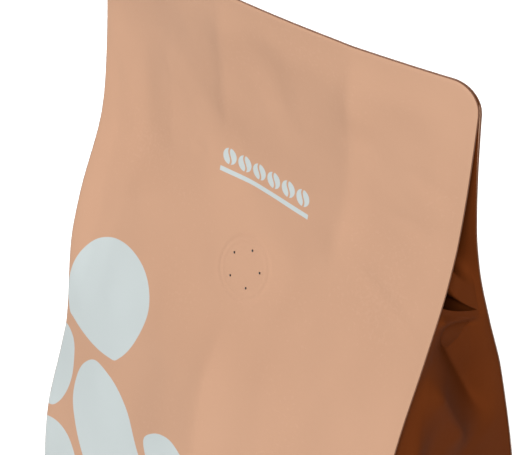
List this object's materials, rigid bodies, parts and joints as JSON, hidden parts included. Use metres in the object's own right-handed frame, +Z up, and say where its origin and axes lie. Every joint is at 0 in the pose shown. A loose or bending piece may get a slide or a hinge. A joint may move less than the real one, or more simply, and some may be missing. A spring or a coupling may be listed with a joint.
{
  "type": "coffee bag",
  "caption": "Shut flat-bottomed coffee bag: tall filled pouch with inward side gussets, a thin sealed top and a one-way valve in the front.",
  "frame": {"origin": "middle of the flat base", "axes": "+Z up, -Y the front panel, +X to the right of someone facing the front"},
  "size_m": [0.15, 0.106, 0.34],
  "materials": {
    "film": "matt printed laminate: peach front and back with pale blue-grey pebbles, brown gussets",
    "valve_film": "matt printed laminate drawn over the valve"
  },
  "bodies": {
    "root": {"pouch": "film", "valve": "valve_film"}
  },
  "joints": []
}
